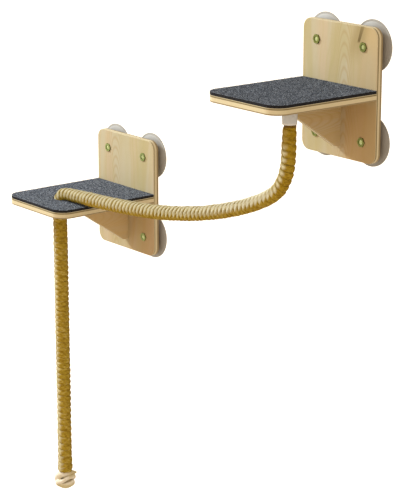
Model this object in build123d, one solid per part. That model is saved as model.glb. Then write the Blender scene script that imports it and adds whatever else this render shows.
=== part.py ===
from build123d import *
import math
import os

# Cat climbing wall for a window: two alike plywood shelves, each held on the glass by four suction
# cups, and a rope wound in sisal. The rope runs from a socket under the upper shelf, over the
# lower shelf's carpet and down through it, and its tail hangs free with a knot in its end.
# Frame: X along the window to the right, Y into the glass, Z up. The glass is the plane Y = 0.
# The origin is the middle of the upper shelf's four suction cups. Lengths are in millimetres.

# Plywood of one shelf unit
ply = 10.5
edge_round = 1.0
plate_width = 160.0
plate_height = 200.0
plate_corner = 15.5
shelf_depth = 192.0
shelf_corner = 24.0
shelf_top_height = 106.0
gusset_reach = 115.0
gusset_drop = 78.2
gusset_front_edge = 5.1
gusset_foot = 8.3

# Carpet glued on each shelf
carpet_thickness = 4.5

# The lower unit's place from the upper one
lower_across = -532.0
lower_up = -254.0

# Suction cup, seen from the plate's back towards the glass
cup_inset = 30.0
cup_standoff = 10.3
cup_rim_radius = 38.7
cup_lip_thickness = 1.5
cup_contact_width = 3.2
cup_hub_radius = 13.0
cup_hub_height = 2.2
cup_hollow_depth = 2.3
cup_head_cover = 3.1

# Stud moulded into the cup, and the thin hexagon nut on it
stud_radius = 4.0
stud_hole_radius = 4.5
stud_head_radius = 9.0
stud_head_thickness = 2.0
stud_end_below_nut = 0.6
stud_chamfer = 0.8
nut_across_flats = 13.0
nut_thickness = 5.0
nut_corner_chamfer = 0.6
nut_pocket_depth = 3.5
nut_pocket_clearance = 0.2

# Countersunk wood screw
screw_radius = 2.0
screw_head_radius = 4.0
screw_length = 35.0
screw_tip = 5.0
screw_slot_width = 1.0
screw_slot_length = 4.4
screw_slot_depth = 1.2
shelf_screw_spacing = 100.0
gusset_back_screw_low = 22.0
gusset_back_screw_spacing = 34.0
gusset_top_screw_first = 40.0
gusset_top_screw_spacing = 40.0
socket_screw_length = 15.0

# Clearances
thread_clearance = 0.05
moulded_clearance = 0.05
glue_clearance = 0.3
overrun = 1.0

# Rope: a cord core with sisal twine wound on it
core_radius = 4.5
wound_radius = 11.5
groove_depth = 1.2
shoulder_depth = 0.3
twine_pitch = 9.6
rope_line = 137.0
rope_rest_gap = 0.5
rope_hole_radius = 13.5
rope_hole_round = 1.5
carpet_slot_clearance = 0.35
carpet_slot_travel = 8.2

# Socket that holds the rope's upper end
socket_inset = 33.0
socket_length = 21.5
socket_top_radius = 11.4
socket_rim_radius = 10.7
socket_floor = 6.0

# Hanging tail: a short neck that swings sideways, and the long tail that swings in and out
stub_below_shelf = 21.5
swing_gap = 0.4
neck_length = 46.0
tail_length = 408.6
knot_radius = 17.3
knot_height = 30.6
knot_shoulder_radius = 10.5
knot_foot_radius = 8.0
knot_strand_radius = 5.2
knot_tip_radius = 2.6
knot_tip_reach = 19.5
knot_tip_lean = 65.0
knot_strand_leans = (-24.0, 18.0)

# Levels that the pieces share
ball_radius = wound_radius - groove_depth
carpet_slot_radius = wound_radius + carpet_slot_clearance
plate_back = -cup_standoff
plate_front = plate_back - ply
shelf_top = shelf_top_height - plate_height / 2
shelf_underside = shelf_top - ply
carpet_top = shelf_top + carpet_thickness
rope_y = plate_front - rope_line
stub_end = lower_up + shelf_underside - stub_below_shelf
socket_rim = shelf_underside - socket_length
socket_across = plate_width / 2 - socket_inset

# Points of the bridge rope's centreline, as X and Z in the plane of the rope, from the stub under
# the lower shelf to the socket. The middle ones are chosen by eye along the rope's sag, and the
# last ones, where it turns up to the socket, are counted across from the socket's own line.
bridge_sag = [
    (-436.0, -229.0),
    (-337.0, -223.5),
    (-239.0, -213.3),
    (-135.0, -192.2),
    (-47.0, -165.0),
]
bridge_rise = [
    (-30.5, -136.0),
    (-7.5, -108.5),
    (0.0, -73.0),
]
bridge_points = (
    [
        (lower_across, stub_end),
        (lower_across, lower_up + carpet_top + wound_radius + rope_rest_gap),
    ]
    + bridge_sag
    + [(socket_across + x, z) for x, z in bridge_rise]
    + [(socket_across, socket_rim)]
)

# One rib of the winding: where its four circles lie as shares of the pitch, and how deep
rib_shares = (0.0, 0.25, 0.5, 0.75)
rib_depths = (groove_depth, shoulder_depth, 0.0, shoulder_depth)
arc_run_share = 0.45
knot_profile_shares = (0.22, 0.62, 0.88)
knot_strand_shares = (0.38, 0.52)

# Drawing plane on the plate's back, looking from the room: its z runs from the glass to the room
wall_plane = Plane(origin=(0, plate_back, 0), x_dir=(1, 0, 0), z_dir=(0, -1, 0))

cup_places = {
    "top_left": (-(plate_width / 2 - cup_inset), plate_height / 2 - cup_inset),
    "top_right": (plate_width / 2 - cup_inset, plate_height / 2 - cup_inset),
    "bottom_left": (-(plate_width / 2 - cup_inset), -(plate_height / 2 - cup_inset)),
    "bottom_right": (plate_width / 2 - cup_inset, -(plate_height / 2 - cup_inset)),
}
unit_places = {
    "upper": Location((0, 0, 0)),
    "lower": Location((lower_across, 0, lower_up)),
}


# A solid of revolution about z from its half outline, given as radius and height
def turned(outline):
    face = make_face(Polyline(*[(r, 0, z) for r, z in outline], close=True))
    return revolve(face, Axis.Z)


# Countersunk screw with its head's face at z = 0 and its point down
def wood_screw(length):
    head_cone = screw_head_radius - screw_radius
    screw = turned([
        (0, 0),
        (screw_head_radius, 0),
        (screw_radius, -head_cone),
        (screw_radius, -(length - screw_tip)),
        (0, -length),
    ])
    for turn in (0, 90):
        slot = Box(screw_slot_length, screw_slot_width, 2 * screw_slot_depth)
        screw -= Rot(0, 0, turn) * slot
    return screw


# The hole that a wood screw cuts, with its countersink
def screw_hole(length):
    head_cone = screw_head_radius - screw_radius
    hole_radius = screw_radius + thread_clearance
    head_radius = screw_head_radius + thread_clearance
    return turned([
        (0, overrun),
        (head_radius, overrun),
        (head_radius, 0),
        (hole_radius, -head_cone),
        (hole_radius, -(length - screw_tip)),
        (0, -length - thread_clearance),
    ])


# Where the six wood screws of a unit stand: each plane's z points out of the screw's head
def wood_screw_planes():
    planes = []
    gusset_foot_z = shelf_underside - gusset_drop
    for side in (-1, 1):
        origin = (side * shelf_screw_spacing / 2, plate_back, shelf_top - ply / 2)
        planes.append(Plane(origin=origin, x_dir=(1, 0, 0), z_dir=(0, 1, 0)))
    for i in range(2):
        height = gusset_foot_z + gusset_back_screw_low + i * gusset_back_screw_spacing
        planes.append(Plane(origin=(0, plate_back, height), x_dir=(1, 0, 0), z_dir=(0, 1, 0)))
    for i in range(2):
        reach = gusset_top_screw_first + i * gusset_top_screw_spacing
        planes.append(Plane(origin=(0, plate_front - reach, shelf_top)))
    return planes


def nut_hexagon(across_flats):
    return RegularPolygon(across_flats / math.sqrt(3), 6)


# Back plate with its stud holes, nut pockets and screw holes
def back_plate():
    plate = extrude(RectangleRounded(plate_width, plate_height, plate_corner), ply)
    faces = plate.faces().sort_by(Axis.Z)
    plate = fillet(faces[0].edges() + faces[-1].edges(), edge_round)
    pocket_size = nut_across_flats + 2 * nut_pocket_clearance
    for x, z in cup_places.values():
        plate -= Pos(x, z, ply / 2) * Cylinder(stud_hole_radius, ply + 2 * overrun)
        pocket = extrude(nut_hexagon(pocket_size), nut_pocket_depth + overrun)
        plate -= Pos(x, z, ply - nut_pocket_depth) * pocket
    plate = wall_plane * plate
    for plane in wood_screw_planes()[:4]:
        plate -= plane * screw_hole(screw_length)
    return plate


# Plan of a shelf: square at the plate, rounded at the front
def shelf_plan():
    plan = Pos(0, plate_front - shelf_depth / 2) * Rectangle(plate_width, shelf_depth)
    front_corners = plan.vertices().sort_by(Axis.Y)[:2]
    return fillet(front_corners, shelf_corner)


# Shelf board, with the rope's hole in the lower one and the socket's screw hole in the upper one
def shelf_board(unit):
    board = Pos(0, 0, shelf_underside) * extrude(shelf_plan(), ply)
    under_edges = board.faces().sort_by(Axis.Z)[0].edges()
    free_edges = [e for e in under_edges if e.center().Y < plate_front - edge_round]
    board = fillet(free_edges, edge_round)
    planes = wood_screw_planes()
    for plane in planes[:2] + planes[4:]:
        board -= plane * screw_hole(screw_length)
    if unit == "lower":
        middle = Pos(0, rope_y, shelf_top - ply / 2)
        board -= middle * Cylinder(rope_hole_radius, ply + 2 * overrun)
        mouth = board.edges().filter_by(GeomType.CIRCLE)
        mouth = [e for e in mouth if abs(e.radius - rope_hole_radius) < thread_clearance]
        board = fillet(ShapeList(mouth).sort_by(Axis.Z)[-1:], rope_hole_round)
    else:
        socket_place = Pos(socket_across, rope_y, shelf_top)
        board -= socket_place * screw_hole(socket_screw_length)
    return board


# Carpet pad, open where the rope goes down through the lower shelf
def carpet(unit):
    pad = Pos(0, 0, shelf_top) * extrude(shelf_plan(), carpet_thickness)
    if unit == "lower":
        slot = SlotCenterToCenter(carpet_slot_travel, 2 * carpet_slot_radius)
        cut = extrude(slot, carpet_thickness + 2 * overrun)
        pad -= Pos(carpet_slot_travel / 2, rope_y, shelf_top - overrun) * cut
    return pad


# Triangular gusset with both points cut blunt
def gusset():
    outline = Polyline(
        (0, 0),
        (-gusset_reach, 0),
        (-gusset_reach, -gusset_front_edge),
        (-gusset_foot, -gusset_drop),
        (0, -gusset_drop),
        close=True,
    )
    side = Plane(origin=(-ply / 2, plate_front, shelf_underside), x_dir=(0, 1, 0), z_dir=(1, 0, 0))
    web = side * extrude(make_face(outline), ply)
    lip = plate_front - edge_round
    free_edges = [
        e for e in web.edges()
        if e.center().Y < lip and e.center().Z < shelf_underside - edge_round
        and abs(abs(e.center().X) - ply / 2) < thread_clearance
    ]
    web = fillet(free_edges, edge_round)
    for plane in wood_screw_planes()[2:]:
        web -= plane * screw_hole(screw_length)
    return web


# Arc between two points of a half outline that turns into part of a ball centred on the axis
def ball_arc(inner, outer):
    r1, z1 = inner
    r2, z2 = outer
    centre = (r2 ** 2 - r1 ** 2 + z2 ** 2 - z1 ** 2) / (2 * (z2 - z1))
    reach = math.hypot(r1, z1 - centre)
    middle = (r1 + r2) / 2
    return ThreePointArc(inner, (middle, centre - math.sqrt(reach ** 2 - middle ** 2)), outer)


# Suction cup pressed flat on the glass, with the moulded pocket that grips the stud's head
def suction_cup():
    lip_start = cup_rim_radius - cup_contact_width
    roof_end = cup_standoff - cup_lip_thickness
    head_top = cup_head_cover
    head_bottom = cup_head_cover + stud_head_thickness + 2 * moulded_clearance
    hollow_top = cup_standoff - cup_hollow_depth
    neck_radius = stud_radius + moulded_clearance
    pocket_radius = stud_head_radius + moulded_clearance
    lines = [
        Line((neck_radius, 0), (cup_hub_radius, 0)),
        Line((cup_hub_radius, 0), (cup_hub_radius, cup_hub_height)),
        ball_arc((cup_hub_radius, cup_hub_height), (lip_start, roof_end)),
        Line((lip_start, roof_end), (cup_rim_radius, roof_end)),
        Line((cup_rim_radius, roof_end), (cup_rim_radius, cup_standoff)),
        Line((cup_rim_radius, cup_standoff), (lip_start, cup_standoff)),
        ball_arc((0, hollow_top), (lip_start, cup_standoff)),
        Line((0, hollow_top), (0, head_bottom)),
        Line((0, head_bottom), (pocket_radius, head_bottom)),
        Line((pocket_radius, head_bottom), (pocket_radius, head_top)),
        Line((pocket_radius, head_top), (neck_radius, head_top)),
        Line((neck_radius, head_top), (neck_radius, 0)),
    ]
    half = make_face(Wire(lines))
    return wall_plane * Rot(180, 0, 0) * revolve(Plane.XZ * half, Axis.Z)


# Stud with its round head in the cup and its end just inside the nut
def cup_stud():
    head_bottom = -(cup_head_cover + stud_head_thickness + moulded_clearance)
    head_top = -(cup_head_cover + moulded_clearance)
    end = ply - nut_pocket_depth + nut_thickness - stud_end_below_nut
    stud = turned([
        (0, head_bottom),
        (stud_head_radius, head_bottom),
        (stud_head_radius, head_top),
        (stud_radius, head_top),
        (stud_radius, end - stud_chamfer),
        (stud_radius - stud_chamfer, end),
        (0, end),
    ])
    return wall_plane * stud


# Thin hexagon nut, points left and right, corners chamfered on the room side
def cup_nut():
    seat = ply - nut_pocket_depth
    point_radius = nut_across_flats / math.sqrt(3)
    nut = Pos(0, 0, seat) * extrude(nut_hexagon(nut_across_flats), nut_thickness)
    top = seat + nut_thickness
    crown = turned([
        (0, seat - overrun),
        (point_radius + overrun, seat - overrun),
        (point_radius + overrun, top - nut_corner_chamfer - overrun / 2),
        (point_radius - nut_corner_chamfer, top),
        (0, top),
    ])
    nut &= crown
    middle = Pos(0, 0, seat + nut_thickness / 2)
    nut -= middle * Cylinder(stud_radius + thread_clearance, nut_thickness + 2 * overrun)
    return wall_plane * nut


# Rope's centreline as straight runs joined by arcs, each as large as its two runs allow
def rope_route(points):
    ends = [Vector(x, rope_y, z) for x, z in points]
    runs = [b - a for a, b in zip(ends, ends[1:])]
    radii = []
    for before, after in zip(runs, runs[1:]):
        half_turn = math.radians(before.get_angle(after)) / 2
        shorter = min(before.length, after.length)
        radii.append(arc_run_share * shorter / math.tan(half_turn))
    print("bridge rope radii:", [round(r, 1) for r in radii])
    return FilletPolyline(*ends, radius=radii)


# A round tube along a route
def swept_tube(route, radius):
    start = Plane(origin=route @ 0, x_dir=(0, 1, 0), z_dir=route % 0)
    return sweep(start * Circle(radius), path=route)


# Winding round the core: a ruled loft with four circles to each rib, and its bore
def ribbed_tube(route):
    count = round(route.length / twine_pitch)
    stations = []
    for i in range(count):
        for share, depth in zip(rib_shares, rib_depths):
            stations.append(((i + share) / count, wound_radius - depth))
    stations.append((1, wound_radius - groove_depth))
    rings = []
    for share, radius in stations:
        plane = Plane(origin=route @ share, x_dir=(0, 1, 0), z_dir=route % share)
        rings.append(plane * Circle(radius))
    return loft(rings, ruled=True) - swept_tube(route, core_radius + glue_clearance)


def vertical_route(top, bottom):
    return Line((lower_across, rope_y, top), (lower_across, rope_y, bottom))


# One hanging stretch: a ball end about its pivot, then core and winding straight down
def hanging_stretch(pivot, bottom):
    centre = Pos(lower_across, rope_y, pivot)
    ball = centre * Sphere(ball_radius)
    above = centre * Pos(0, 0, wound_radius / 2) * Cylinder(wound_radius, wound_radius)
    cap = ball & above
    route = vertical_route(pivot, bottom)
    core_cap = cap & (centre * Pos(0, 0, wound_radius / 2) * Cylinder(core_radius, wound_radius))
    bore = centre * Pos(0, 0, wound_radius / 2) * Cylinder(core_radius + glue_clearance, wound_radius)
    core = swept_tube(route, core_radius) + core_cap
    winding = ribbed_tube(route) + (cap - bore)
    return core, winding


# Stopper knot in the core's end: a lump with two strands over it, one leaning each way, and the
# cut end standing out at the side
def tail_knot(top):
    shares = knot_profile_shares
    low = -knot_height
    lines = [
        Line((0, 0), (knot_shoulder_radius, 0)),
        ThreePointArc(
            (knot_shoulder_radius, 0),
            (knot_radius - knot_strand_radius / 2, low * shares[0]),
            (knot_radius - knot_strand_radius / 2, low * shares[1]),
        ),
        Line(
            (knot_radius - knot_strand_radius / 2, low * shares[1]),
            (knot_foot_radius, low * shares[2] - knot_strand_radius / 2),
        ),
        Line((knot_foot_radius, low * shares[2] - knot_strand_radius / 2), (knot_foot_radius / 2, low)),
        Line((knot_foot_radius / 2, low), (0, low)),
        Line((0, low), (0, 0)),
    ]
    lump = revolve(Plane.XZ * make_face(Wire(lines)), Axis.Z)
    ring_radius = knot_radius - knot_strand_radius
    for lean, share in zip(knot_strand_leans, knot_strand_shares):
        strand = Rot(0, lean, 0) * Torus(ring_radius, knot_strand_radius)
        lump += Pos(0, 0, low * share) * strand
    tip = Rot(0, knot_tip_lean, 0) * Cylinder(knot_tip_radius, knot_tip_reach)
    lump += Pos(knot_tip_reach / 2, 0, low * shares[0]) * tip
    flat = Pos(0, 0, low / 2 - overrun / 2) * Cylinder(2 * knot_radius, knot_height + overrun)
    return Pos(lower_across, rope_y, top) * (lump & flat)


# White plastic socket under the upper shelf
def rope_socket():
    place = Pos(socket_across, rope_y, shelf_underside)
    socket = turned([
        (0, 0),
        (socket_top_radius, 0),
        (socket_rim_radius, -socket_length),
        (core_radius + thread_clearance, -socket_length),
        (core_radius + thread_clearance, -socket_floor),
        (0, -socket_floor),
    ])
    socket = place * socket
    return socket - Pos(socket_across, rope_y, shelf_top) * screw_hole(socket_screw_length)


def save(node, solids):
    parts = solids if isinstance(solids, list) else [solids]
    shape = parts[0] if len(parts) == 1 else Compound(children=parts)
    export_step(shape, "parts/" + node + ".step")


def save_unit(unit):
    place = unit_places[unit]
    save(unit + "_back_plate", place * back_plate())
    save(unit + "_shelf_board", place * shelf_board(unit))
    save(unit + "_carpet", place * carpet(unit))
    save(unit + "_gusset", place * gusset())
    screws = [place * (plane * wood_screw(screw_length)) for plane in wood_screw_planes()]
    save(unit + "_wood_screws", screws)
    across = {name: Pos(x, 0, z) for name, (x, z) in cup_places.items()}
    for name, spot in across.items():
        save(unit + "_cup_" + name, place * spot * suction_cup())
    save(unit + "_cup_studs", [place * spot * cup_stud() for spot in across.values()])
    save(unit + "_cup_nuts", [place * spot * cup_nut() for spot in across.values()])


def save_rope():
    save("rope_socket", rope_socket())
    save("socket_screw", Pos(socket_across, rope_y, shelf_top) * wood_screw(socket_screw_length))
    route = rope_route(bridge_points)
    tenon_length = socket_length - socket_floor
    tenon = Pos(socket_across, rope_y, socket_rim + tenon_length / 2) * Cylinder(
        core_radius, tenon_length)
    core = swept_tube(route, core_radius)
    section = math.pi * core_radius ** 2
    print("bridge core volume over section times length:", core.volume / (section * route.length))
    save("bridge_rope_core", core + tenon)
    save("bridge_sisal_winding", ribbed_tube(route))

    neck_pivot = stub_end - swing_gap - ball_radius
    neck_bottom = stub_end - swing_gap - neck_length
    tail_pivot = neck_bottom - swing_gap - ball_radius
    tail_bottom = neck_bottom - swing_gap - tail_length
    neck_core, neck_winding = hanging_stretch(neck_pivot, neck_bottom)
    tail_core, tail_winding = hanging_stretch(tail_pivot, tail_bottom)
    save("neck_rope_core", neck_core)
    save("neck_sisal_winding", neck_winding)
    save("tail_rope_core", tail_core)
    save("tail_sisal_winding", tail_winding)
    save("tail_knot", tail_knot(tail_bottom))
    print("neck pivot, tail pivot, tail bottom:", neck_pivot, tail_pivot, tail_bottom)


os.makedirs("parts", exist_ok=True)
for unit in unit_places:
    save_unit(unit)
save_rope()
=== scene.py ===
import math

import bmesh
import bpy
import numpy as np
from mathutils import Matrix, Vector, noise


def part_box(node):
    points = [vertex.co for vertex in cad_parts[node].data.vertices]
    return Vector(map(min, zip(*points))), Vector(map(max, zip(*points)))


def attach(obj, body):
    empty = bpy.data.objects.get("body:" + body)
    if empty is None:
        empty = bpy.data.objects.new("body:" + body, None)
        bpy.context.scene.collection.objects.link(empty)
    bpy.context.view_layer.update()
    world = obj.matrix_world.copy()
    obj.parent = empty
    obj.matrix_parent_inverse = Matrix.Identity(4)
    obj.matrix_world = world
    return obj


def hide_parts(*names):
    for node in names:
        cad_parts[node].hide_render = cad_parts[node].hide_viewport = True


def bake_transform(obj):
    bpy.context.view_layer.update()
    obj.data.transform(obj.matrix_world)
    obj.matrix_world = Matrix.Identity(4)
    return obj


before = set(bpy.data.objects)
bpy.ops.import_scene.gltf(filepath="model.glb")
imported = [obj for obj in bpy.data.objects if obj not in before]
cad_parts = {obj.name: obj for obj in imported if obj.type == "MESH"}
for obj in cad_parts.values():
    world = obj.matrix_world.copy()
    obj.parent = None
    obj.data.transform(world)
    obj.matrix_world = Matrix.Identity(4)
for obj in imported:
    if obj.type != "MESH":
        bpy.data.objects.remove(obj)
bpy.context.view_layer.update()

# Back plates: three-layer softwood plywood, one for each shelf unit, sanded, with a small round on
# every edge. A dark layer shows in the edge just under the face, and a browner band at the back:
# the back layer, painted darker still as shade at the back edge. Each is sawn from another board,
# and the upper one has a dark wedge beside its right nut. Under its shelf and right of its middle,
# each plate is painted a warmer tone as painted shade.


class Tone:
    def __init__(self, recipe, socket):
        self.recipe = recipe
        self.socket = socket

    def reckon(self, operation, *values):
        settings = {"operation": operation}
        return self.recipe.node("ShaderNodeMath", settings, dict(enumerate(values)))

    def __add__(self, other):
        return self.reckon("ADD", self, other)

    __radd__ = __add__

    def __mul__(self, other):
        return self.reckon("MULTIPLY", self, other)

    __rmul__ = __mul__

    def __sub__(self, other):
        return self.reckon("SUBTRACT", self, other)

    def __rsub__(self, other):
        return self.reckon("SUBTRACT", other, self)

    def __truediv__(self, other):
        return self.reckon("DIVIDE", self, other)

    def __rtruediv__(self, other):
        return self.reckon("DIVIDE", other, self)

    def __pow__(self, other):
        return self.reckon("POWER", self, other)

    def __abs__(self):
        return self.reckon("ABSOLUTE", self)

    def sine(self):
        return self.reckon("SINE", self)

    def or_more(self, other):
        return self.reckon("MAXIMUM", self, other)

    def above(self, low, high):
        return self.recipe.node("ShaderNodeMapRange", {"interpolation_type": "SMOOTHSTEP"}, {
            "Value": self, "From Min": low, "From Max": high})

    def below(self, low, high):
        return 1 - self.above(low, high)


class Recipe:
    def __init__(self, tree):
        self.tree = tree
        self.tree.nodes.clear()

    def node(self, kind, settings, inputs, output=0):
        made = self.tree.nodes.new(kind)
        for key, value in settings.items():
            setattr(made, key, value)
        for key, value in inputs.items():
            if isinstance(value, Tone):
                self.tree.links.new(value.socket, made.inputs[key])
            else:
                made.inputs[key].default_value = value
        if output is None:
            return [Tone(self, socket) for socket in made.outputs]
        return Tone(self, made.outputs[output])

    def parts(self, vector):
        return self.node("ShaderNodeSeparateXYZ", {}, {0: vector}, None)

    def place(self):
        return self.parts(self.node("ShaderNodeTexCoord", {}, {}, "Object"))

    def facing(self):
        return self.parts(self.node("ShaderNodeTexCoord", {}, {}, "Normal"))

    def noise(self, x, y, z, detail=2.0, roughness=0.5):
        point = self.node("ShaderNodeCombineXYZ", {}, {0: x, 1: y, 2: z})
        return self.node("ShaderNodeTexNoise", {}, {
            "Vector": point, "Scale": 1.0, "Detail": detail, "Roughness": roughness}, "Fac")

    def mix(self, amount, first, second):
        first = first if isinstance(first, Tone) else (*first, 1.0)
        second = second if isinstance(second, Tone) else (*second, 1.0)
        inputs = {0: amount, 6: first, 7: second}
        return self.node("ShaderNodeMix", {"data_type": "RGBA"}, inputs, 2)

    def bump(self, height, distance, strength):
        return self.node("ShaderNodeBump", {}, {
            "Height": height, "Distance": distance, "Strength": strength})

    def surface(self, **inputs):
        names = {key.replace("_", " ").title().replace("Ior", "IOR"): value
                 for key, value in inputs.items()}
        shader = self.node("ShaderNodeBsdfPrincipled", {}, names)
        self.node("ShaderNodeOutputMaterial", {}, {"Surface": shader}, None)


def new_finish(name):
    material = bpy.data.materials.new(name)
    material.use_nodes = True
    return material, Recipe(material.node_tree)


X, Y, Z = range(3)

wood_pale = (0.520, 0.457, 0.314)
wood_tan = (0.510, 0.400, 0.220)
wood_pink = (0.570, 0.440, 0.290)
wood_olive = (0.455, 0.385, 0.180)
wood_brown = (0.300, 0.190, 0.080)
wood_amber = (0.400, 0.265, 0.110)
edge_pale = (0.665, 0.583, 0.378)
edge_cream = (0.695, 0.583, 0.388)
edge_line = (0.145, 0.100, 0.030)
edge_back_and_shade = (0.235, 0.160, 0.072)
streak_amber = (0.430, 0.310, 0.150)
streak_halo = (0.365, 0.275, 0.120)
streak_dark = (0.140, 0.092, 0.020)
corner_amber = (0.560, 0.400, 0.170)
corner_at = 0.066

skin_depth = 0.0008
line_depth = 0.0027
layer_blur = 0.0003


def plywood(name, face, grain, outer, inner, back_depth, shift, arch_at,
            painted_warm_shade=None, knot_streak=None, line_share=0.70):
    material, wood = new_finish(name)
    place = wood.place()
    across = place[3 - face - grain]
    along = place[grain]
    depth = place[face]
    sway = wood.noise(across * 16 + shift, along * 4, depth * 8 + shift, 2)
    wide = wood.noise(across * 46 + sway * 4, along * 3.0 + shift, depth * 12, 1)
    tint = wood.noise(across * 24 - shift, along * 7.0 + sway * 2, depth * 12, 1)
    rings = (across * 780 + sway * 60 + wide * 9 + shift).sine() * 0.5 + 0.5
    fine = wood.noise(across * 820, along * 22 + shift, depth * 820, 3, 0.6)
    pores = wood.noise(across * 2400, along * 80, depth * 2400 + shift, 1)
    colour = wood.mix(wide.above(0.40, 0.66) * 0.60, wood_pale, wood_tan)
    colour = wood.mix(tint.above(0.50, 0.72) * 0.60, colour, wood_olive)
    colour = wood.mix(tint.below(0.30, 0.48) * 0.55, colour, wood_pink)
    colour = wood.mix((rings ** 4) * wide.above(0.40, 0.72) * 0.55, colour, wood_olive)
    colour = wood.mix(fine.above(0.50, 0.80) * 0.35, colour, wood_olive)
    colour = wood.mix(pores.above(0.64, 0.80) * 0.20, colour, wood_brown)

    bow = (across - arch_at) * (across - arch_at) * 60000
    arches = (along * 330 + bow + sway * 26 + shift).sine() * 0.5 + 0.5
    beside = abs(across - arch_at + (sway - 0.5) * 0.03).below(0.010, 0.034)
    colour = wood.mix((arches ** 3) * beside * 0.42, colour, wood_amber)
    # Painted warm shade: under the shelf and right of the plate's middle, or over a whole gusset,
    # the wood is painted a warmer tone for the shade there.
    if painted_warm_shade is not None:
        top, side, share, tone = painted_warm_shade
        patch = along.below(top - 0.020, top) * across.above(side - 0.030, side + 0.030)
        far = across.above(side + 0.030, side + 0.060) * 0.4
        colour = wood.mix(patch * share * (far + wide + 0.5), colour, tone)
    if knot_streak is not None:
        middle, top, lean, length, half = knot_streak
        down = (top - along) / length
        drift = (sway - 0.5) * 0.002
        line = abs(across - middle + (top - along) * lean + drift)
        spread = line / (half * (1.30 - down * 0.45))
        inside = down.below(0.90, 1.10) * spread.below(0.62, 1.05) * (0.58 + down * 0.42)
        amber = across.above(0.018, 0.075) * (0.45 + wide * 0.35)
        halo = line.below(0.006, 0.024) * down.below(0.8, 2.6)
        corner = abs(across - corner_at).below(0.004, 0.022) * (top - along).below(0.012, 0.055)
        colour = wood.mix(amber, colour, streak_amber)
        colour = wood.mix(halo * 0.85, colour, streak_halo)
        colour = wood.mix(inside * 0.95, colour, streak_dark)
        colour = wood.mix(corner * 0.40, colour, corner_amber)

    from_outer = abs(depth - outer)
    from_inner = abs(depth - inner)
    end_grain = wood.noise(across * 420, along * 420, depth * 1400, 2)
    layer = wood.noise(across * 60, along * 60, depth * 900 + shift, 2)
    past_skin = (skin_depth - 0.0002, skin_depth + 0.0001)
    line = from_outer.above(*past_skin) * from_outer.below(line_depth, line_depth + layer_blur)
    back = from_inner.below(back_depth, back_depth + layer_blur)
    side = wood.mix(layer.above(0.35, 0.70), edge_pale, edge_cream)
    side = wood.mix(end_grain.above(0.50, 0.80) * 0.35, side, wood_tan)
    # The band at the back of the edge is the back layer, painted darker still as shade at the back
    # edge.
    side = wood.mix(back * 0.85, side, edge_back_and_shade)
    side = wood.mix(line * (line_share + end_grain * 0.3), side, edge_line)
    side = wood.mix(from_outer.below(*past_skin) * 0.7, side, wood_pale)
    edge = abs(wood.facing()[face]).below(0.50, 0.82)
    height = fine * 0.6 + rings * 0.2 + pores * 0.5
    wood.surface(
        base_color=wood.mix(edge, colour, side),
        roughness=0.55 + fine * 0.12,
        specular_ior_level=0.35,
        normal=wood.bump(height, 0.00015, 0.5),
    )
    return material


def dress(node, material):
    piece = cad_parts[node]
    for slot in piece.material_slots:
        slot.material = material


# The plates' painted warm shade starts this far below the plate's top, with this tone and share.
plate_back_layer = 0.0038
plate_shade_below = 0.100
plate_shade_tone = (0.480, 0.255, 0.085)
plate_shade_share = 0.38
wedge_middle = 0.0484
wedge_lean = 0.34
wedge_length = 0.0240
wedge_half_width = 0.0034
plate_cuts = {
    "upper": {"shift": 3.1, "arch_at": 0.012, "line_share": 0.70},
    "lower": {"shift": 17.7, "arch_at": -0.560, "line_share": 0.38},
}
for unit, cut in plate_cuts.items():
    low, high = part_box(unit + "_back_plate")
    wedge = (wedge_middle, high[Z], wedge_lean, wedge_length, wedge_half_width)
    painted_warm_shade = (high[Z] - plate_shade_below, (low[X] + high[X]) / 2, plate_shade_share, plate_shade_tone)
    dress(unit + "_back_plate", plywood(
        unit + "_plate_wood", Y, Z, low[Y], high[Y], plate_back_layer,
        painted_warm_shade=painted_warm_shade, knot_streak=wedge if unit == "upper" else None, **cut))

# Shelf boards: the same plywood, screwed through the plate from behind. The edges are left bare,
# so the layers show all round.
board_back_layer = 0.0019
for unit, shift in (("upper", 8.3), ("lower", 25.9)):
    low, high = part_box(unit + "_shelf_board")
    dress(unit + "_shelf_board", plywood(
        unit + "_board_wood", Z, Y, high[Z], low[Z], board_back_layer, shift,
        (low[X] + high[X]) / 2))

# Gussets: a triangle of the same plywood under each shelf, with its grain along the shelf. It is
# screwed through the plate from behind and through the board from above.
gusset_back_layer = 0.0023
gusset_arch_height = 0.045
# Each gusset is painted a warm tone all over, as painted shade for the shade it sits in under the
# shelf.
shade_all_over = (1.0, -2.0)
gusset_cuts = {
    "upper": (5.7, 0.215, (0.620, 0.400, 0.170)),
    "lower": (31.3, 0.393, (0.700, 0.490, 0.240)),
}
for unit, (shift, gusset_shade_share, gusset_shade_tone) in gusset_cuts.items():
    low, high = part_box(unit + "_gusset")
    dress(unit + "_gusset", plywood(
        unit + "_gusset_wood", X, Y, high[X], low[X], gusset_back_layer, shift,
        low[Z] + gusset_arch_height, (*shade_all_over, gusset_shade_share, gusset_shade_tone)))

# Wood screws: countersunk, zinc plated, with a cross recess. Six hold each unit, with their heads
# behind the plate and under the carpet, and one more holds the rope's socket.
# Pale tone for painted glints, which stand for highlights on the studs' ends.
glint_tone = (0.640, 0.720, 0.360)
zinc = (0.66, 0.62, 0.52)
zinc_stained = (0.50, 0.46, 0.36)


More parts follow.
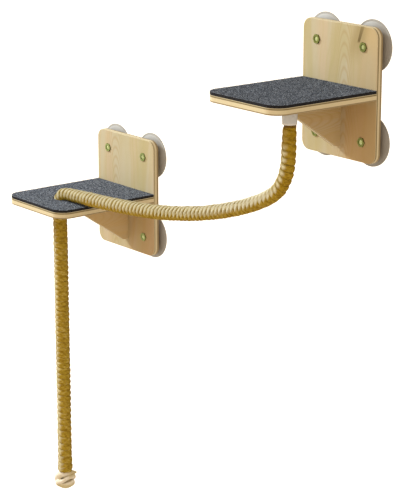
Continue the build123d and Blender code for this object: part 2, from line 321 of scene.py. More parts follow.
def plated_steel(name, colour, stained, roughness, face_gain=0.0, face_colour=zinc, glint=0.0):
    material, steel = new_finish(name)
    x, y, z = steel.place()
    stain = steel.noise(x * 300, y * 300, z * 300, 3, 0.6)
    scratch = steel.noise(x * 4000, y * 900, z * 900, 2)
    flat_face = (steel.facing()[Y] * -1).above(0.75, 0.95)
    worn = steel.mix(stain.above(0.35, 0.7), colour, stained)
    # Painted glints: pale patches laid on the flat front face where glint is set.
    face = steel.mix(stain.above(0.50, 0.60) * glint, face_colour, glint_tone)
    steel.surface(
        base_color=steel.mix(flat_face * face_gain, worn, face),
        metallic=0.75,
        roughness=roughness + scratch * 0.15,
        normal=steel.bump(scratch, 0.00002, 0.4),
    )
    return material


screw_steel = plated_steel("screw_steel_finish", zinc, zinc_stained, 0.30)
for node in ("upper_wood_screws", "lower_wood_screws", "socket_screw"):
    dress(node, screw_steel)

# Carpet pads: needle felt, cut to the shelf's outline and glued on. The top is a mottle of dark
# blue-grey and pale fibres, a little fuzzy, and the cut edge is nearly black. The lower pad has a
# slot where the rope goes down.
felt_step = 0.002
felt_corner = 0.024
corner_parts = 12
felt_lump = 0.00022
felt_dark = (0.048, 0.056, 0.072)
felt_blue = (0.130, 0.150, 0.190)
felt_pale = (0.360, 0.405, 0.485)
felt_violet = (0.125, 0.122, 0.160)
felt_pit = (0.018, 0.020, 0.028)
felt_cut_edge = (0.012, 0.010, 0.010)
fibre_dark = (0.040, 0.046, 0.060)
fibre_pale = (0.420, 0.455, 0.520)
# Both pads are one felt, painted at two light levels: each pad's colours are scaled by its own
# painted light, the lower pad lighter.
felt_light = {"upper": 0.78, "lower": 0.96}
felt_seed = {"upper": 11, "lower": 23}

rope_at_y = -0.1578
lower_x = -0.532
slot_radius = 0.01185
slot_travel = 0.0082
slot_parts = 16
slot_from = -0.26
slot_to = -0.23


def lit(colour, light):
    return [part * light for part in colour]


def felt_finish(name, light, top):
    material, felt = new_finish(name)
    x, y, z = felt.place()
    z = z - top
    clump = felt.noise(x * 360, y * 360, z * 360 + 0.5, 1, 0.5)
    speck = felt.noise(x * 640, y * 640, z * 640 + 0.5, 1, 0.5)
    hair = felt.noise(x * 1900, y * 1900, z * 1900, 2)
    cloud = felt.noise(x * 50, y * 50, z * 50, 2)
    up = felt.facing()[Z]
    colour = felt.mix(clump.above(0.42, 0.58), lit(felt_dark, light), lit(felt_blue, light))
    colour = felt.mix(cloud.above(0.50, 0.75) * 0.3, colour, lit(felt_violet, light))
    colour = felt.mix(speck.above(0.56, 0.68) * 0.85, colour, lit(felt_pale, light))
    colour = felt.mix(speck.below(0.34, 0.44) * 0.75, colour, felt_pit)
    colour = felt.mix(up.below(0.35, 0.8) * 0.92, colour, felt_cut_edge)
    felt.surface(
        base_color=colour,
        roughness=0.95,
        specular_ior_level=0.12,
        normal=felt.bump(clump * 0.5 + speck * 0.5 + hair * 0.4, 0.0009, 0.7),
    )
    return material


def felt_fibre_finish(name, light, top):
    material, fibre = new_finish(name)
    x, y, z = fibre.place()
    z = z - top
    fleck = fibre.noise(x * 640, y * 640, z * 20 + 0.5, 1, 0.5)
    pale_share = fleck.above(0.50, 0.64)
    fibre.surface(
        base_color=fibre.mix(pale_share, lit(fibre_dark, light), lit(fibre_pale, light)),
        roughness=0.9,
        specular_ior_level=0.15,
    )
    return material


def placed(name, mesh):
    made = bpy.data.objects.new(name, mesh)
    bpy.context.collection.objects.link(made)
    return made


def plain_mesh(piece):
    graph = bpy.context.evaluated_depsgraph_get()
    mesh = bpy.data.meshes.new_from_object(piece.evaluated_get(graph))
    piece.modifiers.clear()
    piece.data = mesh
    return piece


def planted_fibres(name, base, material, density, length, thickness, lean, seed):
    tree = bpy.data.node_groups.new(name, "GeometryNodeTree")
    made_by = Recipe(tree)
    panel = tree.interface
    panel.new_socket("Geometry", in_out="INPUT", socket_type="NodeSocketGeometry")
    panel.new_socket("Geometry", in_out="OUTPUT", socket_type="NodeSocketGeometry")
    sizes = {"Density": density, "Length": length, "Thickness": thickness}
    keys = {}
    for label in sizes:
        socket = panel.new_socket(label, in_out="INPUT", socket_type="NodeSocketFloat")
        keys[label] = socket.identifier
    geometry, many, long, thick = made_by.node("NodeGroupInput", {}, {}, None)[:4]
    spots, _, turn = made_by.node("GeometryNodeDistributePointsOnFaces", {}, {
        "Mesh": geometry, "Density": many, "Seed": seed}, None)[:3]
    fibre = made_by.node("GeometryNodeMeshCone", {"fill_type": "NONE"}, {
        "Vertices": 3, "Radius Top": 0.0, "Radius Bottom": thick, "Depth": long})
    tip = made_by.node("FunctionNodeRandomValue", {"data_type": "FLOAT_VECTOR"}, {
        0: (-lean, -lean, 0.0), 1: (lean, lean, 2 * math.pi), "Seed": seed + 1})
    share = made_by.node("FunctionNodeRandomValue", {"data_type": "FLOAT"}, {
        2: 0.5, 3: 1.15, "Seed": seed + 2}, 1)
    tilted = made_by.node("FunctionNodeRotateRotation", {"rotation_space": "LOCAL"}, {
        0: turn, 1: tip})
    planted = made_by.node("GeometryNodeInstanceOnPoints", {}, {
        "Points": spots, "Instance": fibre, "Rotation": tilted, "Scale": share})
    real = made_by.node("GeometryNodeRealizeInstances", {}, {"Geometry": planted})
    dyed = made_by.node("GeometryNodeSetMaterial", {}, {"Geometry": real, "Material": material})
    made_by.node("NodeGroupOutput", {}, {0: dyed}, None)
    grown = placed(name, base.data.copy())
    modifier = grown.modifiers.new("fibres", "NODES")
    modifier.node_group = tree
    for label, value in sizes.items():
        modifier[keys[label]] = value
    return plain_mesh(grown)


def finished(name, work):
    mesh = bpy.data.meshes.new(name)
    work.to_mesh(mesh)
    work.free()
    return mesh


def raised(work, outline, bottom, top):
    face = work.faces.new([work.verts.new((px, py, bottom)) for px, py in outline])
    grown = bmesh.ops.extrude_face_region(work, geom=[face])
    for part in grown["geom"]:
        if isinstance(part, bmesh.types.BMVert):
            part.co.z = top


def felt_outline(low, high):
    left, right, front, back = low[X], high[X], low[Y], high[Y]
    corner = felt_corner
    points = []
    for middle_x, middle_y, start in (
        (left + corner, front + corner, math.pi),
        (right - corner, front + corner, 1.5 * math.pi),
    ):
        for i in range(corner_parts + 1):
            angle = start + i * math.pi / (2 * corner_parts)
            points.append((middle_x + corner * math.cos(angle),
                           middle_y + corner * math.sin(angle)))
    return [*points, (right, back), (left, back)]


def felt_pad(unit):
    low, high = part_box(unit + "_carpet")
    work = bmesh.new()
    raised(work, felt_outline(low, high), low[Z], high[Z])
    for axis in (X, Y):
        size = high[axis] - low[axis]
        cuts = round(size / felt_step)
        across = [0, 0, 0]
        across[axis] = 1
        for i in range(1, cuts):
            cut_at = [0, 0, 0]
            cut_at[axis] = low[axis] + i * size / cuts
            bmesh.ops.bisect_plane(work, geom=work.verts[:] + work.edges[:] + work.faces[:],
                                   plane_co=cut_at, plane_no=across)
    return placed(unit + "_felt", finished(unit + "_felt", work))


def slot_cutter():
    work = bmesh.new()
    points = []
    for start, middle in ((-0.5, slot_travel), (0.5, 0.0)):
        for i in range(slot_parts + 1):
            angle = (start + i / slot_parts) * math.pi
            points.append((lower_x + middle + slot_radius * math.cos(angle),
                           rope_at_y + slot_radius * math.sin(angle)))
    raised(work, points, slot_from, slot_to)
    bmesh.ops.recalc_face_normals(work, faces=work.faces[:])
    return placed("slot_cutter", finished("slot_cutter", work))


for unit, light in felt_light.items():
    pad = felt_pad(unit)
    if unit == "lower":
        cutter = slot_cutter()
        cut = pad.modifiers.new("slot", "BOOLEAN")
        cut.operation = "DIFFERENCE"
        cut.object = cutter
        plain_mesh(pad)
        bpy.data.objects.remove(cutter)
    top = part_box(unit + "_carpet")[1][Z]
    for v in pad.data.vertices:
        if v.co.z > top - 1e-5:
            lump = noise.noise(v.co * 260) + 0.6 * noise.noise(v.co * 90)
            v.co.z += felt_lump * lump - felt_lump
    pad.data.materials.clear()
    pad.data.materials.append(felt_finish(unit + "_felt_finish", light, top))
    skin = bmesh.new()
    skin.from_mesh(pad.data)
    bmesh.ops.delete(skin, geom=[f for f in skin.faces if f.normal.z < 0.5], context="FACES")
    bed = bpy.data.objects.new("felt_bed", finished("felt_bed", skin))
    fuzz = planted_fibres(
        unit + "_felt_fibres", bed, felt_fibre_finish(unit + "_fibre_finish", light, top),
        density=360000.0, length=0.0020, thickness=0.00019, lean=1.45, seed=felt_seed[unit])
    bpy.data.objects.remove(bed)
    for piece in (pad, fuzz):
        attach(piece, "mounted_set")
    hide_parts(unit + "_carpet")

# Suction cups: soft clear vinyl gone milky, four to each unit, pressed flat on the glass. Each is
# moulded round the head of its stud.
vinyl_shade_near_plate = (0.174, 0.141, 0.105)
vinyl_milk = (0.372, 0.373, 0.372)
vinyl_cloud = (0.410, 0.410, 0.405)
vinyl_on_glass = (0.500, 0.500, 0.490)
vinyl_shade = (0.205, 0.150, 0.095)
vinyl_shade_right_cups = (0.180, 0.150, 0.115)

cup_vinyl, vinyl = new_finish("cup_vinyl_finish")
x, y, z = vinyl.place()
haze = vinyl.noise(x * 60, y * 60, z * 60, 3, 0.6)
# Painted shade on the cups: dark brown towards the plate, darker on the side facing right, and a
# warm dark tone over the right-hand cups, where the board shades them.
near_glass = y.above(-0.0100, -0.0010)
on_glass = y.above(-0.0024, -0.0012)
right_side = vinyl.facing()[X].above(0.05, 0.45)
right_hand = x.above(-0.001, 0.001)
colour = vinyl.mix(near_glass, vinyl_shade_near_plate, vinyl_milk)
colour = vinyl.mix(haze.above(0.4, 0.75) * 0.3, colour, vinyl_cloud)
colour = vinyl.mix(on_glass * 0.6, colour, vinyl_on_glass)
colour = vinyl.mix(right_side * 0.30, colour, vinyl_shade)
colour = vinyl.mix(right_hand * 0.25, colour, vinyl_shade_right_cups)
vinyl.surface(
    base_color=colour,
    roughness=0.46 + haze * 0.1,
    specular_ior_level=0.3,
    normal=vinyl.bump(haze, 0.0002, 0.3),
)
for unit in ("upper", "lower"):
    for spot in ("top_left", "top_right", "bottom_left", "bottom_right"):
        dress(unit + "_cup_" + spot, cup_vinyl)

# Studs and nuts: each cup's steel stud comes through the plate into a thin hexagon nut that sits
# in a pocket. Both are plated yellow-green, and the stud's end is paler, with painted glints on it
# that stand for highlights.
stud_plain = (0.500, 0.540, 0.220)
stud_stained = (0.580, 0.610, 0.280)
stud_face = (0.370, 0.410, 0.160)
nut_tones = {
    "upper": ((0.093, 0.105, 0.017), (0.148, 0.156, 0.030), (0.238, 0.258, 0.063)),
    "lower": ((0.140, 0.165, 0.034), (0.200, 0.230, 0.060), (0.340, 0.405, 0.135)),
}
stud_steel = plated_steel("stud_steel_finish", stud_plain, stud_stained, 0.38,
                          face_gain=0.85, face_colour=stud_face, glint=0.75)
for unit, (nut_plain, nut_stained, nut_face) in nut_tones.items():
    dress(unit + "_cup_studs", stud_steel)
    dress(unit + "_cup_nuts", plated_steel(
        unit + "_nut_finish", nut_plain, nut_stained, 0.42, face_gain=0.60, face_colour=nut_face))

# Rope socket: a white moulded cap under the upper board, held by a screw down through the board.
# The rope's upper end is fixed in its mouth.
cap_white = (0.580, 0.600, 0.640)
cap_scuffed = (0.510, 0.520, 0.550)
cap_rim = (0.800, 0.780, 0.760)

socket_finish, plastic = new_finish("socket_finish")
x, y, z = plastic.place()
scuff = plastic.noise(x * 200, y * 200, z * 200, 3, 0.6)
rim = z.below(-0.0250, -0.0225)
colour = plastic.mix(scuff.above(0.4, 0.8) * 0.3, cap_white, cap_scuffed)
colour = plastic.mix(rim * 0.7, colour, cap_rim)
plastic.surface(base_color=colour, roughness=0.42 + scuff * 0.1)
dress("rope_socket", socket_finish)

# Rope: one cord core wound with sisal twine, close turns from the socket to the knot. It sags
# from the socket to the lower shelf, lies on the carpet, goes down through the shelf and hangs.
# The route's points are its control points, in metres, in the plane of the rope.
route_points = [
    (0.047, -0.026),
    (0.047, -0.073),
    (0.0395, -0.1085),
    (0.0165, -0.136),
    (-0.047, -0.165),
    (-0.135, -0.1922),
    (-0.239, -0.2133),
    (-0.337, -0.2235),
    (-0.436, -0.2293),
    (-0.478, -0.2312),
    (-0.5335, -0.2338),
    (-0.532, -0.2950),
    (-0.532, -0.3400),
    (-0.532, -0.7354),
]
elbow_height = -0.2335
shelf_underside = -0.262
neck_foot = -0.3165
core_radius = 0.0045
twine_thick = 0.0070
half_twine = twine_thick / 2
turn_sides = 36
twine_sides = 18
turn_at_socket = -1.0
end_angle = math.radians(34)
last_turn_lift = 0.0050
heading_step = 0.0015
tail_from = 0.6


def route_line(points):
    curve = bpy.data.curves.new("route", "CURVE")
    curve.dimensions = "3D"
    curve.resolution_u = 48
    spline = curve.splines.new("NURBS")
    spline.points.add(len(points) - 1)
    for point, (px, pz) in zip(spline.points, points):
        point.co = (px, rope_at_y, pz, 1.0)
    spline.order_u = 3
    spline.use_endpoint_u = True
    holder = placed("route", curve)
    graph = bpy.context.evaluated_depsgraph_get()
    mesh = bpy.data.meshes.new_from_object(holder.evaluated_get(graph))
    line = np.array([v.co[:] for v in mesh.vertices])
    bpy.data.objects.remove(holder)
    return line


rope_line = route_line(route_points)
steps = np.linalg.norm(np.diff(rope_line, axis=0), axis=1)
rope_run = np.concatenate([[0.0], np.cumsum(steps)])
rope_length = rope_run[-1]
elbow_run = rope_length + route_points[-1][1] - elbow_height
winding_end = rope_length - last_turn_lift


def on_rope(run):
    return np.stack([np.interp(run, rope_run, rope_line[:, i]) for i in range(3)], axis=-1)


def run_at_height(height):
    low_part = rope_run > rope_length * tail_from
    return float(np.interp(-height, -rope_line[low_part, 2], rope_run[low_part]))


def heading(run):
    later = on_rope(np.minimum(run + heading_step, rope_length))
    ahead = later - on_rope(np.maximum(run - heading_step, 0.0))
    return ahead / np.linalg.norm(ahead, axis=-1, keepdims=True)


# Along the rope's run in metres: the twine's pitch in metres a turn, and the shares of its girth
# and of the hollows between its turns
pitch_rows = [
    (0.0, 0.0098), (0.03, 0.00999), (0.11, 0.00999), (0.16, 0.0098), (0.4, 0.0094),
    (elbow_run - 0.03, 0.0092), (elbow_run + 0.05, 0.0116), (elbow_run + 0.09, 0.0108),
    (elbow_run + 0.125, 0.0090), (elbow_run + 0.27, 0.0092), (elbow_run + 0.37, 0.0104),
    (elbow_run + 0.43, 0.0116), (winding_end - 0.006, 0.0124), (winding_end - 0.004, 0.0036),
]
girth_rows = [
    (0.0025, 0.70), (0.0035, 0.86), (0.03, 0.94), (0.2, 1.0), (elbow_run - 0.075, 1.0),
    (elbow_run - 0.03, 0.92), (elbow_run - 0.012, 0.88), (elbow_run + 0.003, 0.97),
    (elbow_run + 0.012, 1.03), (elbow_run + 0.05, 1.03), (elbow_run + 0.09, 1.055),
    (rope_length - 0.03, 1.045), (rope_length - 0.010, 1.13),
]
relief_rows = [
    (0.0, 0.20), (0.030, 0.30), (0.045, 0.80), (0.070, 0.80), (0.090, 0.35), (0.150, 0.35),
    (0.180, 0.90), (elbow_run - 0.02, 1.0), (elbow_run + 0.02, 0.30), (elbow_run + 0.10, 0.50),
    (rope_length, 0.60),
]


def read_off(rows, run):
    runs, values = zip(*rows)
    return np.interp(run, runs, values)


def wobble(values, scale, seed):
    return np.array([noise.noise(Vector((v * scale, seed, 0.37 * seed))) for v in values])


fine_run = np.linspace(0.0, rope_length, 16000)
fine_turn = np.concatenate(
    [[0.0], np.cumsum(np.diff(fine_run) / read_off(pitch_rows, fine_run[1:]))])
fine_turn = fine_turn + turn_at_socket


def smooth_tube(name, verts, rings, sides):
    faces = []
    for i in range(rings - 1):
        for k in range(sides):
            a = i * sides + k
            b = i * sides + (k + 1) % sides
            faces.append((a, b, b + sides, a + sides))
    faces.append(tuple(range(sides))[::-1])
    faces.append(tuple((rings - 1) * sides + k for k in range(sides)))
    mesh = bpy.data.meshes.new(name)
    mesh.from_pydata(verts, [], faces)
    for face in mesh.polygons:
        face.use_smooth = True
    return placed(name, mesh)


narrowest_turn = 0.0094
tuck_turns = 0.35
tuck_share = 0.35
waver = 0.10
slow_lift = 0.00035
quick_lift = 0.00022
most_slip = 0.0007
strand_lay = 2.35
strand_depth = 0.06
fibre_depth = 0.07
flat_crown = 0.62
round_side = 0.90
least_overlap = 1.04
hollow_overlap = 0.16
mean_radius = 0.008


def twine_mesh(name, run_from, run_to):
    turn_from = np.interp(run_from, fine_run, fine_turn)
    turn_to = np.interp(run_to, fine_run, fine_turn)
    first = round(turn_from * turn_sides)
    last = round(turn_to * turn_sides)
    turns = np.arange(first, last + 1) / turn_sides
    run = np.interp(turns, fine_turn, fine_run)
    last_turn = float(np.interp(winding_end, fine_run, fine_turn))
    angle = (last_turn - turns) * 2 * math.pi + end_angle
    along = heading(run)
    side = np.tile(np.array([0.0, 1.0, 0.0]), (len(run), 1))
    up = np.cross(side, along)
    out = up * np.cos(angle)[:, None] + side * np.sin(angle)[:, None]
    girth = read_off(girth_rows, run)
    pitch = np.maximum(read_off(pitch_rows, run), narrowest_turn)
    loose = wobble(turns, 0.9, 3.0) * slow_lift + wobble(turns, 5.0, 7.0) * quick_lift
    reach = (core_radius + half_twine) * girth + loose
    slip = wobble(turns, 1.7, 11.0) * most_slip
    thick = half_twine * girth * (1 + waver * wobble(turns, 2.3, 5.0))
    wide = pitch / 2 * (1.02 + waver * wobble(turns, 2.3, 9.0))
    free = np.clip((last_turn - turns) / tuck_turns, 0.0, 1.0)
    reach = core_radius * 0.5 + (reach - core_radius * 0.5) * free
    thick = thick * (tuck_share + (1 - tuck_share) * free)
    wide = wide * (tuck_share + (1 - tuck_share) * free)
    middle = on_rope(run) + out * reach[:, None] + along * slip[:, None]
    phi = np.arange(twine_sides) / twine_sides * 2 * math.pi
    twist = turns * 2 * math.pi * strand_lay
    lobes = 1 + strand_depth * np.cos(3 * (phi[None, :] - twist[:, None]))
    rough = np.array([
        [noise.noise(Vector((t * 7.0, 3.1 * math.cos(p - w), 3.1 * math.sin(p - w)))) for p in phi]
        for t, w in zip(turns, twist)])
    lobes = lobes + fibre_depth * rough
    rise = np.sign(np.cos(phi)) * np.abs(np.cos(phi)) ** flat_crown
    spread = np.sign(np.sin(phi)) * np.abs(np.sin(phi)) ** round_side
    overlap = least_overlap + hollow_overlap * (1 - read_off(relief_rows, run))
    points = (
        middle[:, None, :]
        + out[:, None, :] * (rise[None, :] * lobes * thick[:, None])[:, :, None]
        + along[:, None, :] * (spread[None, :] * lobes * (wide * overlap)[:, None])[:, :, None]
    )
    made = smooth_tube(name, points.reshape(-1, 3).tolist(), len(turns), twine_sides)
    mesh = made.data
    layer = mesh.uv_layers.new(name="twine")
    turn_length = 2 * math.pi * mean_radius
    for face in mesh.polygons:
        corners = list(face.loop_indices)
        on_seam = len(corners) == 4 and any(
            mesh.loops[c].vertex_index % twine_sides == twine_sides - 1 for c in corners)
        for corner in corners:
            i, k = divmod(mesh.loops[corner].vertex_index, twine_sides)
            v = 1.0 if k == 0 and on_seam else k / twine_sides
            layer.data[corner].uv = (turns[i] * turn_length, v)
    return made


core_step = 0.0025
core_sides = 18
core_lay = 0.028
core_share = 0.93
core_lobes = 0.07


def core_mesh(name, run_from, run_to, overrun):
    count = max(4, int((run_to - run_from) / core_step))
    run = np.linspace(run_from, run_to, count)
    centre = on_rope(run)
    centre[-1, 2] -= overrun
    along = heading(run)
    side = np.tile(np.array([0.0, 1.0, 0.0]), (count, 1))
    up = np.cross(side, along)
    phi = np.arange(core_sides) / core_sides * 2 * math.pi
    twist = run / core_lay * 2 * math.pi
    radius = core_radius * (core_share + core_lobes * np.cos(3 * (phi[None, :] - twist[:, None])))
    points = (centre[:, None, :]
              + up[:, None, :] * (np.cos(phi)[None, :] * radius)[:, :, None]
              + side[:, None, :] * (np.sin(phi)[None, :] * radius)[:, :, None])
    return smooth_tube(name, points.reshape(-1, 3).tolist(), count, core_sides)


# Sisal tones. Besides the twine's own colours, several stand for light and shade: painted shade in
# the hollows, high up and under the socket, painted light on the side towards the lamp, and
# painted shade on the sides turned away from it.
sisal_hollow_shade = (0.365, 0.240, 0.018)
sisal_crown = (0.430, 0.305, 0.036)
sisal_straw = (0.540, 0.400, 0.080)
sisal_rust = (0.300, 0.165, 0.008)
sisal_seam = (0.285, 0.160, 0.008)
sisal_aged = (0.400, 0.300, 0.030)
sisal_shaded = (0.330, 0.195, 0.008)
sisal_tuft = (0.600, 0.480, 0.160)
sisal_shade_high_up = (0.400, 0.245, 0.006)
sisal_pit = (0.215, 0.120, 0.006)
painted_light_tone = (0.640, 0.590, 0.400)
painted_light_on_sag = (0.430, 0.388, 0.262)
painted_light_on_bridge = (0.540, 0.505, 0.390)
gap_shade_tone = (0.185, 0.130, 0.020)
gap_light_on_bridge = (0.480, 0.420, 0.260)
far_side_shade = (0.235, 0.145, 0.018)
near_side_shade = (0.290, 0.200, 0.055)
socket_shadow_tone = (0.100, 0.045, 0.010)


def sisal_finish(name):
    material, sisal = new_finish(name)
    u, v, _ = sisal.parts(sisal.node("ShaderNodeUVMap", {"uv_map": "twine"}, {}))
    x, y, z = sisal.place()
    nx, ny, nz = sisal.facing()
    spin = v * 3.0 - u * 140.0
    strand = (spin * (2 * math.pi)).sine() * 0.5 + 0.5
    fibre = sisal.noise(u * 110, v * 36 + u * 60, z * 30, 3, 0.65)
    fine = sisal.noise(u * 300, v * 110, x * 60, 2, 0.6)
    age = sisal.noise(x * 30, y * 60, z * 30, 2)
    tuft = sisal.noise(u * 150, v * 8 + u * 90, z * 25, 2, 0.6)

    on_sag = z.above(-0.262, -0.250) * z.below(-0.160, -0.130)
    upper_bridge = x.above(-0.25, -0.05) * z.below(-0.130, -0.120)
    high_up = z.above(-0.150, -0.120)
    low_down = z.below(-0.72, -0.50) * 0.22
    upright = 1 - z.above(-0.290, -0.270) * z.below(-0.150, -0.120)
    under_shelf = z.above(-0.064, -0.050).or_more(
        z.above(-0.325, -0.285) * z.below(-0.262, -0.256) * x.below(-0.55, -0.50))
    under_socket = z.above(-0.0315, -0.0290)

    crest = (abs(v - 0.5) * 2 - on_sag * 0.12 - high_up * 0.10).above(0.46, 0.86)
    turned = nx * (0.75 - on_sag * 0.50 - high_up * 0.15) + ny * (0.37 + high_up * 0.25)
    # Painted light: sunward is the side of the rope turned towards the lamp, less where the
    # shelves cast their shadow.
    sunward = (nz * 0.55 - turned + low_down).above(0.0, 0.5)
    sunward = sunward * (1 - under_shelf * 0.85)
    painted_light = sunward * crest * (0.58 + fibre * 0.45)
    gap = (1 - crest) * sunward
    far_side = (nx * 0.63 + ny * 0.77).above(0.75, 0.98) * upright
    near_side = (nx * 0.563 + ny * 0.826).below(-0.94, -0.80) * upright

    # The hollows between turns are painted darker than the crowns, as painted shade.
    colour = sisal.mix(crest, sisal_hollow_shade, sisal_crown)
    colour = sisal.mix(fibre.above(0.46, 0.62) * 0.50, colour, sisal_straw)
    colour = sisal.mix(fine.below(0.38, 0.50) * 0.60, colour, sisal_rust)
    colour = sisal.mix(strand.below(0.05, 0.40) * 0.35, colour, sisal_seam)
    colour = sisal.mix(age.above(0.48, 0.72) * 0.30, colour, sisal_aged)
    colour = sisal.mix(under_shelf * 0.35, colour, sisal_shaded)
    # High up under the upper shelf the rope is painted darker, with fewer pale tufts, as painted
    # shade.
    colour = sisal.mix(tuft.above(0.54, 0.66) * (0.55 - high_up * 0.30), colour, sisal_tuft)
    colour = sisal.mix(high_up * 0.35, colour, sisal_shade_high_up)
    colour = sisal.mix(tuft.below(0.36, 0.47) * 0.60, colour, sisal_pit)
    # Painted light on the crowns turned towards the lamp, with other tones on the sag and the
    # upper bridge.
    colour = sisal.mix(painted_light * (1 + high_up * 0.15), colour, painted_light_tone)
    colour = sisal.mix(painted_light * on_sag, colour, painted_light_on_sag)
    colour = sisal.mix(painted_light * upper_bridge * 0.8, colour, painted_light_on_bridge)
    # Painted shade in the hollows on the side towards the lamp; on the upper bridge they are
    # painted paler again, as painted light.
    colour = sisal.mix(gap * (0.75 - upper_bridge * 0.40 + high_up * 0.20), colour, gap_shade_tone)
    colour = sisal.mix(gap * upper_bridge * 0.80, colour, gap_light_on_bridge)
    # Painted shade on the upright rope: its side turned away from the lamp and its far left rim
    # are painted darker.
    colour = sisal.mix(far_side * 0.55, colour, far_side_shade)
    colour = sisal.mix(near_side * 0.75, colour, near_side_shade)
    # Painted shadow: a dark band on the rope just under the socket's mouth.
    colour = sisal.mix(under_socket * 0.80, colour, socket_shadow_tone)
    sisal.surface(
        base_color=colour,
        roughness=0.70,
        specular_ior_level=0.05,
        normal=sisal.bump(fibre * 0.5 + fine * 0.4 + strand * 0.5 + tuft * 0.8, 0.0011, 0.85),
    )
    return material


cord_cream = (0.780, 0.710, 0.580)
cord_white = (0.880, 0.840, 0.770)
cord_shade = (0.700, 0.600, 0.380)
cord_underside_shade = (0.500, 0.410, 0.160)
cord_stain = (0.520, 0.420, 0.170)
cord_hollow_shade = (0.360, 0.270, 0.090)
knot_right = np.array([0.563, 0.826, 0.0])
knot_up = np.array([-0.315, 0.2145, 0.925])
knot_front = np.array([0.765, -0.521, 0.381])
knot_at = (lower_x, rope_at_y, -0.7500)

core_cord, cord = new_finish("core_cord_finish")
x, y, z = cord.place()
lay = cord.noise(x * 700, y * 700, z * 250, 3, 0.6)
shade = cord.noise(x * 120, y * 120, z * 120, 1)
from_x, from_y, from_z = (value - middle for value, middle in zip((x, y, z), knot_at))
rightward, upward, forward = (
    from_x * way[X] + from_y * way[Y] + from_z * way[Z]
    for way in (knot_right, knot_up, knot_front))
wide_share = rightward / 0.0185
high_share = upward / 0.0165
deep_share = forward / 0.0140
from_middle = wide_share * wide_share + high_share * high_share + deep_share * deep_share
under = z.below(-0.7580, -0.7520)
stained = rightward.above(0.000, 0.012) * z.above(-0.7455, -0.7405)
colour = cord.mix(lay.above(0.35, 0.7), cord_cream, cord_white)
colour = cord.mix(shade.above(0.45, 0.65) * 0.4, colour, cord_shade)
# Painted shade: the knot's underside is painted olive-gold.
colour = cord.mix(under * 0.70, colour, cord_underside_shade)
colour = cord.mix(stained * 0.65, colour, cord_stain)
# Painted shade: darker towards the knot's middle, between its turns.
colour = cord.mix(from_middle.below(0.46, 0.78) * 0.62, colour, cord_hollow_shade)
cord.surface(base_color=colour, roughness=0.85, normal=cord.bump(lay, 0.0004, 0.6))

loose_fibre, hair = new_finish("loose_fibre_finish")
x, y, z = hair.place()
straw = hair.noise(x * 90, y * 90, z * 90, 1)
hair.surface(
    base_color=hair.mix(straw.above(0.4, 0.6), (0.400, 0.290, 0.060), (0.600, 0.520, 0.250)),
    roughness=0.8,
    specular_ior_level=0.1,
)

sisal_twine = sisal_finish("sisal_finish")
core_into_knot = 0.014
below_shelf = run_at_height(shelf_underside)
neck_end = run_at_height(neck_foot)
stretches = {
    "bridge": (0.0, below_shelf),
    "neck": (below_shelf, neck_end),
    "tail": (neck_end, rope_length),
}
ropes = {}
for label, (run_from, run_to) in stretches.items():
    winding = twine_mesh(label + "_winding", run_from, min(run_to, winding_end))
    winding.data.materials.append(sisal_twine)
    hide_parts(label + "_sisal_winding")
    core = core_mesh(label + "_core", run_from, run_to, core_into_knot if label == "tail" else 0.0)
    core.data.materials.append(core_cord)
    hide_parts(label + "_rope_core")
    fuzz = planted_fibres(label + "_fuzz", winding, loose_fibre, density=26000.0, length=0.0050,
                          thickness=0.00013, lean=1.30, seed=41)
    ropes[label] = (winding, core, fuzz)
for piece in ropes["bridge"]:
    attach(piece, "mounted_set")
for piece in ropes["neck"]:
    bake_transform(piece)
for piece in ropes["tail"]:
    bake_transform(piece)

# Knot: the core cord wound on itself in tight slanting turns and pulled into a ball under the last
# turn of twine, cream white, with its cut end standing out at the side. Each point gives how far
# right, up and forward of the knot's middle the cord passes, and its radius there, in millimetres.
knot_points = [
    (18.8, 11.4, 0.5, 1.8),
    (13.0, 11.4, 4.0, 3.6),
    (4.0, 10.0, 6.8, 4.9),
    (-4.0, 8.8, 7.6, 5.8),
    (-10.6, 6.6, 5.0, 6.4),
    (-12.8, 2.0, -0.5, 6.2),
    (-10.5, -3.0, -6.0, 6.0),
    (-2.0, -3.0, -9.0, 5.6),
    (8.0, 1.5, -8.5, 5.6),
    (13.0, 4.6, -0.5, 5.4),
    (8.8, 3.2, 7.8, 3.8),
    (2.0, 0.2, 10.6, 3.1),
    (-5.2, -3.6, 9.8, 3.6),
    (-11.2, -4.0, 3.8, 6.0),
    (-9.2, -7.0, -3.5, 6.3),
    (0.5, -8.0, -7.0, 5.8),
    (8.5, -6.5, -4.5, 5.8),
    (10.8, -5.8, 1.0, 5.8),
    (6.0, -9.2, 4.2, 5.8),
    (-0.5, -10.4, 4.0, 5.6),
    (-6.8, -8.3, 1.5, 5.8),
    (0.0, -2.5, 0.5, 7.0),
    (2.0, 2.5, 1.0, 7.5),
    (-4.0, 3.5, 1.5, 8.0),
]
knot_shift = np.array([-0.0002, -0.0003, 0.0008])
knot_steps = 12
knot_sides = 20
knot_lobes = 0.05


def knot_line(steps):
    points = np.array(knot_points) / 1000
    points = np.vstack([points[:1], points, points[-1:]])
    line = []
    for a, b, c, d in zip(points, points[1:], points[2:], points[3:]):
        for s in np.arange(steps) / steps:
            line.append(0.5 * (2 * b + (c - a) * s + (2 * a - 5 * b + 4 * c - d) * s ** 2
                               + (3 * b - a - 3 * c + d) * s ** 3))
    line = np.array(line)
    centre = line[:, :1] * knot_right + line[:, 1:2] * knot_up + line[:, 2:3] * knot_front
    return centre, line[:, 3]


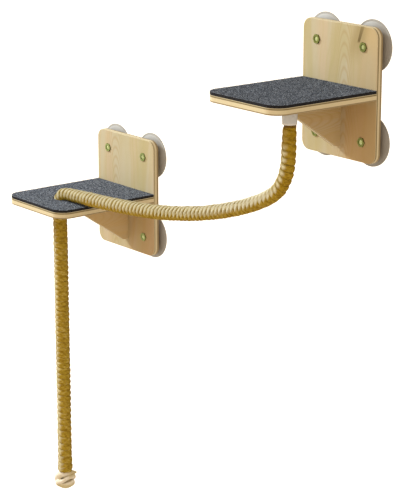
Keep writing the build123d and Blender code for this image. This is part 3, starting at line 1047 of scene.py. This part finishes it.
def knotted_tube(name, line, radii, sides, lobes):
    ahead = np.gradient(line, axis=0)
    ahead = ahead / np.linalg.norm(ahead, axis=1, keepdims=True)
    across = np.cross(ahead[0], [0.0, 0.0, 1.0])
    verts = []
    for i, (point, direction) in enumerate(zip(line, ahead)):
        across = across - direction * float(across @ direction)
        across = across / np.linalg.norm(across)
        over = np.cross(direction, across)
        for k in range(sides):
            angle = 2 * math.pi * k / sides
            radius = radii[i] * (1 + lobes * math.cos(3 * angle + i * 0.25))
            outward = across * math.cos(angle) + over * math.sin(angle)
            verts.append((point + outward * radius).tolist())
    made = smooth_tube(name, verts, len(line), sides)
    for end in made.data.polygons[-2:]:
        end.use_smooth = False
    return made


knot_low, knot_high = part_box("tail_knot")
knot_middle = np.array([lower_x, rope_at_y, (knot_low[Z] + knot_high[Z]) / 2]) + knot_shift
knot_centre, knot_radii = knot_line(knot_steps)
knot = knotted_tube("end_knot", knot_centre + knot_middle, knot_radii, knot_sides, knot_lobes)
knot.data.materials.append(core_cord)
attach(knot, "hanging_tail")
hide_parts("tail_knot")


# Room: a pale floor far below, as under a window, and a white surround. The surround lights the
# set with a warm tone, and more from the room than through the glass.
floor_height = -7.0
floor_size = 90.0


def seen_directly(recipe):
    rays = recipe.node("ShaderNodeLightPath", {}, {}, None)
    camera_ray, glossy_ray, clear_ray = rays[0], rays[3], rays[6]
    return camera_ray.or_more(glossy_ray).or_more(clear_ray)


bpy.ops.mesh.primitive_plane_add(size=floor_size, location=(0.0, 0.0, floor_height))
floor = bpy.context.object
floor.name = "floor"
floor_paint, paint = new_finish("floor_paint")
paint.surface(
    base_color=(0.80, 0.71, 0.58, 1.0),
    roughness=0.9,
    emission_color=paint.mix(seen_directly(paint), (0.0, 0.0, 0.0), (0.9, 0.9, 0.9)),
    emission_strength=1.0,
)
floor.data.materials.append(floor_paint)

world = bpy.data.worlds.new("surround")
bpy.context.scene.world = world
world.use_nodes = True
sky = Recipe(world.node_tree)
towards = sky.parts(sky.node("ShaderNodeTexCoord", {}, {}, "Generated"))[Y]
room_light = 0.52 + towards.below(-0.7, 0.7) * 0.66
room = sky.node("ShaderNodeBackground", {}, {
    "Color": (1.0, 0.865, 0.69, 1.0), "Strength": room_light})
white = sky.node("ShaderNodeBackground", {}, {"Color": (1.0, 1.0, 1.0, 1.0), "Strength": 1.0})
backdrop = sky.node("ShaderNodeMixShader", {}, {0: seen_directly(sky), 1: room, 2: white})
sky.node("ShaderNodeOutputWorld", {}, {"Surface": backdrop}, None)
bpy.context.scene.view_settings.view_transform = "Standard"

# Light: one soft disk to the left of the set, a little in front of the glass and 29 degrees above
# it. Its colour is a slightly blue daylight.
lamp_distance = 5.5
lamp_azimuth = math.radians(25)
lamp_height = math.radians(29)
to_lamp = Vector((
    -math.cos(lamp_azimuth) * math.cos(lamp_height),
    -math.sin(lamp_azimuth) * math.cos(lamp_height),
    math.sin(lamp_height),
))
lamp = bpy.data.lights.new("window_light", "AREA")
lamp.shape = "DISK"
lamp.size = 0.9
lamp.energy = 325.0
lamp.color = (0.88, 0.97, 1.0)
lamp_holder = placed("window_light", lamp)
lamp_holder.location = to_lamp * lamp_distance
lamp_holder.rotation_euler = to_lamp.to_track_quat("Z", "Y").to_euler()

# Camera: in front of the set and to its right, half a metre above the upper shelf, looking down
# 15 degrees through a long lens.
picture_width = 401
focal_pixels = 1860.861
sensor_width = 36.0
looking_down = math.radians(15.315)
turned_left = math.radians(51.343)
camera_data = bpy.data.cameras.new("camera")
camera_data.sensor_fit = "HORIZONTAL"
camera_data.sensor_width = sensor_width
camera_data.lens = focal_pixels / picture_width * sensor_width
camera = placed("camera", camera_data)
camera.location = (1.98359, -1.86801, 0.49864)
camera.rotation_euler = (math.radians(90) - looking_down, 0.0, turned_left)
bpy.context.scene.camera = camera
